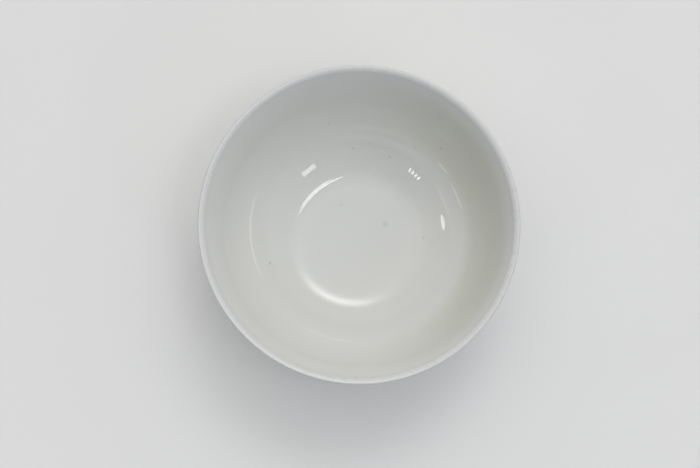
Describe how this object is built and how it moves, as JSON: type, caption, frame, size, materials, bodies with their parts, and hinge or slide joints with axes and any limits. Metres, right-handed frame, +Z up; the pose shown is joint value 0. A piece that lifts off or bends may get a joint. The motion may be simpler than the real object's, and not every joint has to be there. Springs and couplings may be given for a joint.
{
  "type": "latte bowl",
  "caption": "Footed round bowl of white glazed porcelain, with a flat well, a steep flared wall and a rounded lip.",
  "frame": {"origin": "centre of the circle on which the foot ring stands", "axes": "+Z up along the axis of the bowl; +X and +Y lie in the table and are free, because the bowl is round"},
  "size_m": [0.15, 0.15, 0.073],
  "materials": {
    "porcelain": "bare fired clay, fine and matt, seen only on the foot ring",
    "inside_glaze": "glossy off-white glaze",
    "outside_glaze": "glossy off-white glaze"
  },
  "bodies": {
    "root": {"porcelain_body": "porcelain", "foot_ring": "porcelain", "inside_glaze": "inside_glaze", "outside_glaze": "outside_glaze", "underside_glaze": "outside_glaze"}
  },
  "joints": []
}
